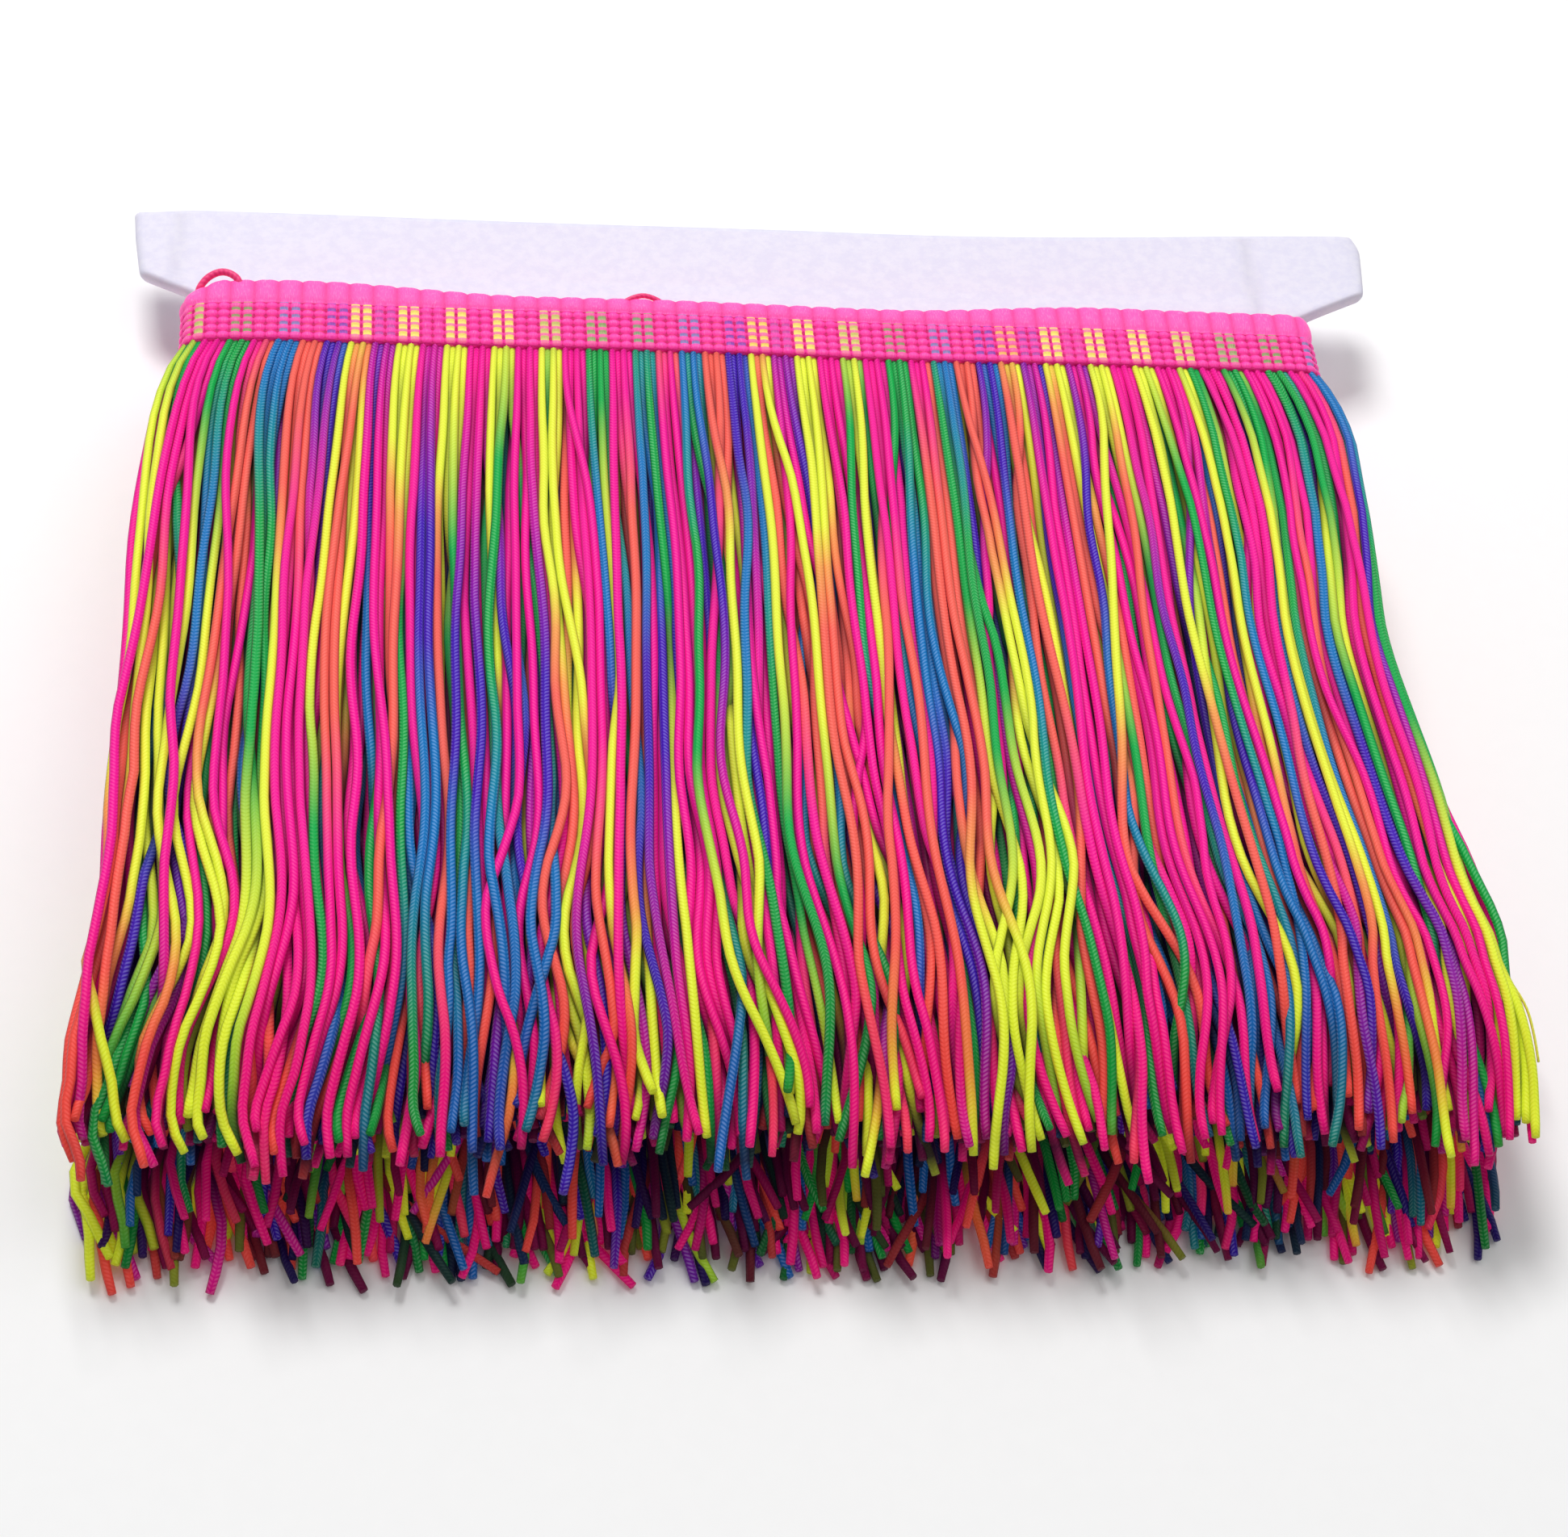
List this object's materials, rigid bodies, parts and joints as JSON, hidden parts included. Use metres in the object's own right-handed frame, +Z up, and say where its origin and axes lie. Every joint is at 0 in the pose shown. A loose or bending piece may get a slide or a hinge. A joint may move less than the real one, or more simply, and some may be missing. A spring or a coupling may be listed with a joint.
{
  "type": "roll of tassel fringe on its winding board",
  "caption": "Multicolour chainette fringe wound flat by its woven pink heading on the neck of a white board, lying on its back.",
  "frame": {"origin": "middle of the flat underside of the heading's selvage, on the surface that the roll lies on", "axes": "+X along the roll, +Y from the cord tips to the head of the board, +Z up, the roll lying on its back"},
  "size_m": [0.23, 0.1966, 0.0296],
  "materials": {
    "heading": "woven hot pink tape with small coloured weft bars",
    "board": "soft white foam board, slightly mottled",
    "cords": "knitted cords, space dyed hot pink, yellow, coral, green, blue and purple"
  },
  "bodies": {
    "root": {"heading_tape": "heading", "winding_board": "board", "fringe_outer_turns": "cords", "fringe_middle_turns": "cords", "fringe_inner_turns": "cords"}
  },
  "joints": []
}
